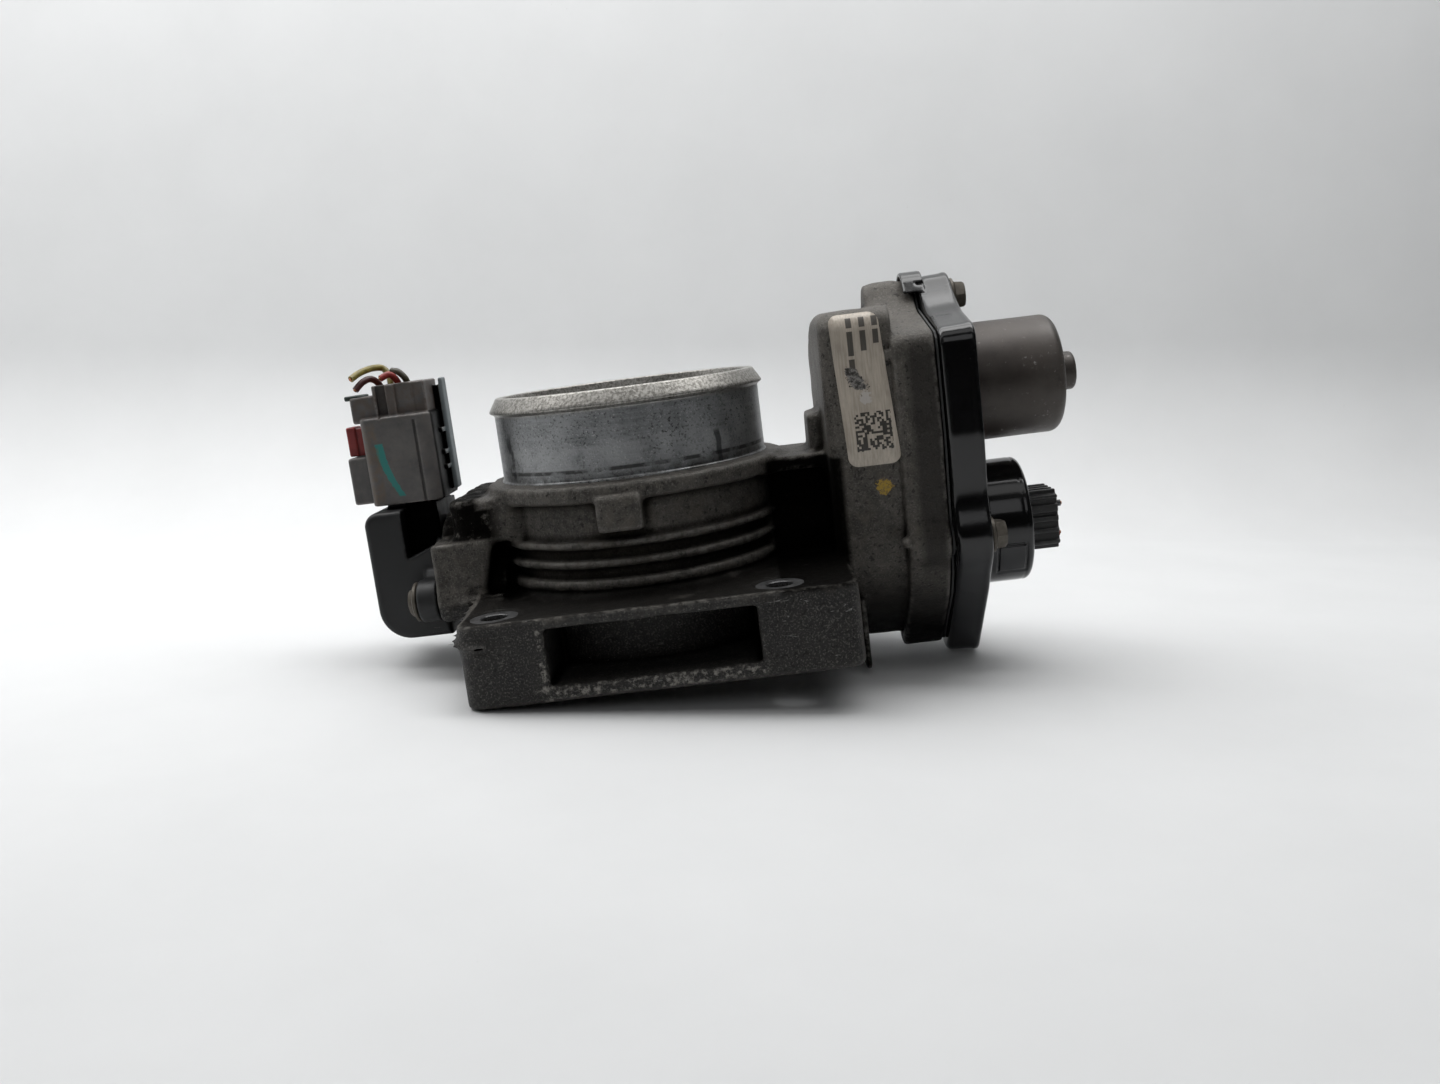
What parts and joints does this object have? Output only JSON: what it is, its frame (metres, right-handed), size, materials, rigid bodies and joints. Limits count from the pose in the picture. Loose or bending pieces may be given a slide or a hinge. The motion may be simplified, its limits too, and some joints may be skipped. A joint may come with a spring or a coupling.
{
  "type": "throttle body",
  "caption": "Electronic throttle body: cast housing with a round bore, butterfly plate, motor and gear train under a cover, position sensor and wiring plugs.",
  "frame": {"origin": "bottom centre of the box around the whole object without its loose wires; the bore axis is at x = -23.15 mm and the flange face at z = 16.2 mm", "axes": "+Z along the bore towards the air inlet, +X along the throttle shaft towards the motor, +Y towards the back of the flange"},
  "size_m": [0.2098, 0.1128, 0.1117],
  "materials": {
    "cast_aluminium": "raw die casting, weathered",
    "steel": "turned",
    "dark_steel": "plated, dull brown-grey",
    "brass": "machined",
    "copper": "wound copper",
    "gloss_black_plastic": "moulded, glossy",
    "matte_black_plastic": "moulded, matte",
    "rubber": "moulded",
    "nylon": "moulded, natural",
    "grey_plastic": "moulded, dusty",
    "red_plastic": "moulded",
    "green_plastic": "moulded",
    "silicone": "moulded",
    "label": "satin film",
    "wire_dark_red": "wire insulation",
    "wire_yellow": "wire insulation",
    "wire_red": "wire insulation",
    "wire_olive": "wire insulation",
    "wire_grey": "wire insulation"
  },
  "bodies": {
    "housing_assembly": {"throttle_housing": "cast_aluminium", "blank_label": "label", "shaft_bearing_left": "steel", "shaft_bearing_right": "steel", "shaft_seal_left": "rubber", "shaft_seal_right": "rubber", "gear_cover": "gloss_black_plastic", "cover_gasket": "rubber", "cover_screw_1": "steel", "cover_screw_2": "steel", "cover_screw_3": "steel", "cover_screw_4": "steel", "cover_screw_5": "steel", "idler_pin": "steel", "motor_can": "dark_steel", "motor_end_plate": "dark_steel", "motor_bushing_front": "brass", "motor_bushing_rear": "brass", "motor_magnet_front": "dark_steel", "motor_magnet_rear": "dark_steel", "motor_brush_upper": "dark_steel", "motor_brush_lower": "dark_steel", "connector_shroud": "gloss_black_plastic", "motor_blade_1": "brass", "motor_blade_2": "brass", "sensor_body": "matte_black_plastic", "sensor_blade_1": "brass", "sensor_blade_2": "brass", "sensor_blade_3": "brass", "sensor_blade_4": "brass", "sensor_o_ring": "rubber", "sensor_screw_1": "steel", "sensor_screw_2": "steel", "return_spring": "dark_steel"},
    "throttle": {"throttle_shaft": "steel", "throttle_plate": "brass", "plate_screw_1": "steel", "plate_screw_2": "steel", "shaft_nut": "steel", "sector_gear": "nylon", "sensor_rotor": "nylon"},
    "idler": {"idler_gear": "nylon"},
    "motor_rotor": {"motor_armature": "copper", "motor_commutator": "copper", "motor_shaft": "steel", "motor_pinion": "steel"},
    "motor_connector_plug": {"motor_plug": "matte_black_plastic", "motor_wire_upper": "wire_grey", "motor_wire_lower": "wire_red"},
    "sensor_connector_plug": {"sensor_plug": "grey_plastic", "wire_seal": "silicone", "plug_terminal_lock": "green_plastic", "sensor_wire_dark_red": "wire_dark_red", "sensor_wire_yellow": "wire_yellow", "sensor_wire_red": "wire_red", "sensor_wire_olive": "wire_olive"},
    "plug_lock": {"plug_lock_slide": "red_plastic"},
    "latch_lever": {"plug_latch": "grey_plastic"}
  },
  "joints": [
    {"name": "throttle_turn", "type": "hinge", "parent": "housing_assembly", "child": "throttle", "pos_m": [-0.02315, 0, 0.0452], "axis": [1, 0, 0], "range_deg": [-7, 77], "stiffness_Nm_per_rad": 0.2},
    {"name": "idler_turn", "type": "hinge", "parent": "housing_assembly", "child": "idler", "pos_m": [0.04585, -0.01601, 0.06997], "axis": [1, 0, 0], "range_deg": [-338, 32]},
    {"name": "motor_turn", "type": "hinge", "parent": "housing_assembly", "child": "motor_rotor", "pos_m": [0.07685, 0, 0.0802], "axis": [1, 0, 0], "range_deg": [-88, 943]},
    {"name": "motor_plug_pull", "type": "slide", "parent": "housing_assembly", "child": "motor_connector_plug", "axis": [1, 0, 0], "range_m": [0, 0.016]},
    {"name": "sensor_plug_pull", "type": "slide", "parent": "housing_assembly", "child": "sensor_connector_plug", "axis": [0, 0, 1], "range_m": [0, 0.02]},
    {"name": "plug_lock_slide", "type": "slide", "parent": "sensor_connector_plug", "child": "plug_lock", "axis": [0, 0, 1], "range_m": [0, 0.0035]},
    {"name": "latch_press", "type": "hinge", "parent": "sensor_connector_plug", "child": "latch_lever", "pos_m": [-0.09005, 0.0118, 0.0762], "axis": [1, 0, 0], "range_deg": [0, 4], "stiffness_Nm_per_rad": 0.3}
  ],
  "couplings": [
    {"joint": "idler_turn", "follows": "throttle_turn", "ratio": -4.3636},
    {"joint": "motor_turn", "follows": "throttle_turn", "ratio": 12.218}
  ]
}
